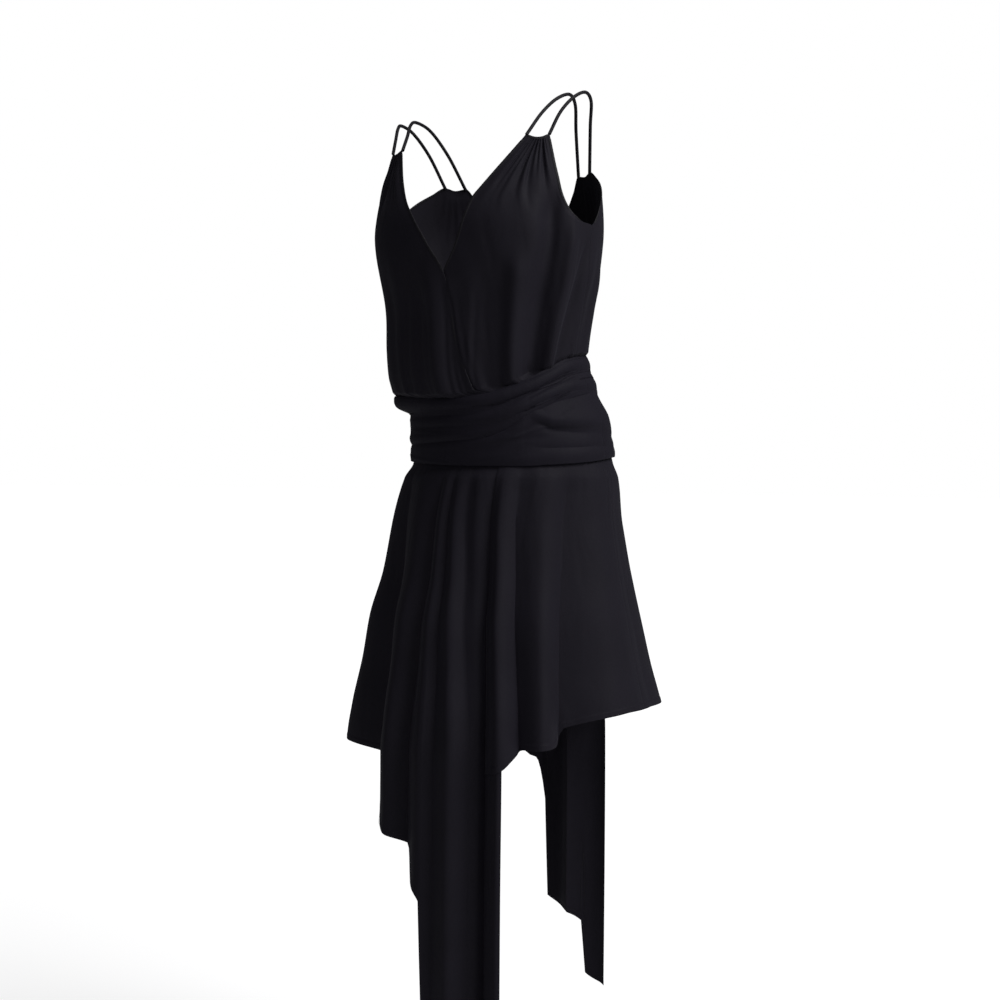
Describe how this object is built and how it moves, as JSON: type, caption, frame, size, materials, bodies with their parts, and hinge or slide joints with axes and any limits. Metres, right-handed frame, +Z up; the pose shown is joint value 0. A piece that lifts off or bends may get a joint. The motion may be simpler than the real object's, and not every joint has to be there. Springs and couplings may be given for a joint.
{
  "type": "wrap dress",
  "caption": "Sleeveless wrap dress with a plunging surplice bodice on paired thin straps, a wide wound sash and a fluted skirt with long handkerchief points.",
  "frame": {"origin": "midway between the wearer's shoulders, at the mean height of the straps that rest on them, on the body's axis", "axes": "+Z up the worn dress, +X towards the wearer's left, the dress faces -Y"},
  "size_m": [0.4216, 0.3909, 1.2017],
  "materials": {
    "crepe": "matte soft crepe",
    "sash": "matte soft crepe, pleated",
    "binding": "matte folded binding and rolled straps"
  },
  "bodies": {
    "root": {"bodice_front_right": "crepe", "bodice_front_left": "crepe", "bodice_back": "crepe", "binding_top_right": "binding", "binding_top_left": "binding", "binding_neck_right": "binding", "binding_neck_left": "binding", "binding_armhole_right": "binding", "binding_armhole_left": "binding", "binding_back_neck": "binding", "binding_back_armhole_left": "binding", "binding_back_armhole_right": "binding", "strap_inner_left": "binding", "strap_outer_left": "binding", "strap_inner_right": "binding", "strap_outer_right": "binding", "sash_band_front": "sash", "sash_band_back": "sash", "sash_wrap_front": "sash", "sash_wrap_back": "sash", "skirt_right_front": "crepe", "skirt_right_back": "crepe", "skirt_left_front": "crepe", "skirt_left_back": "crepe"}
  },
  "joints": []
}
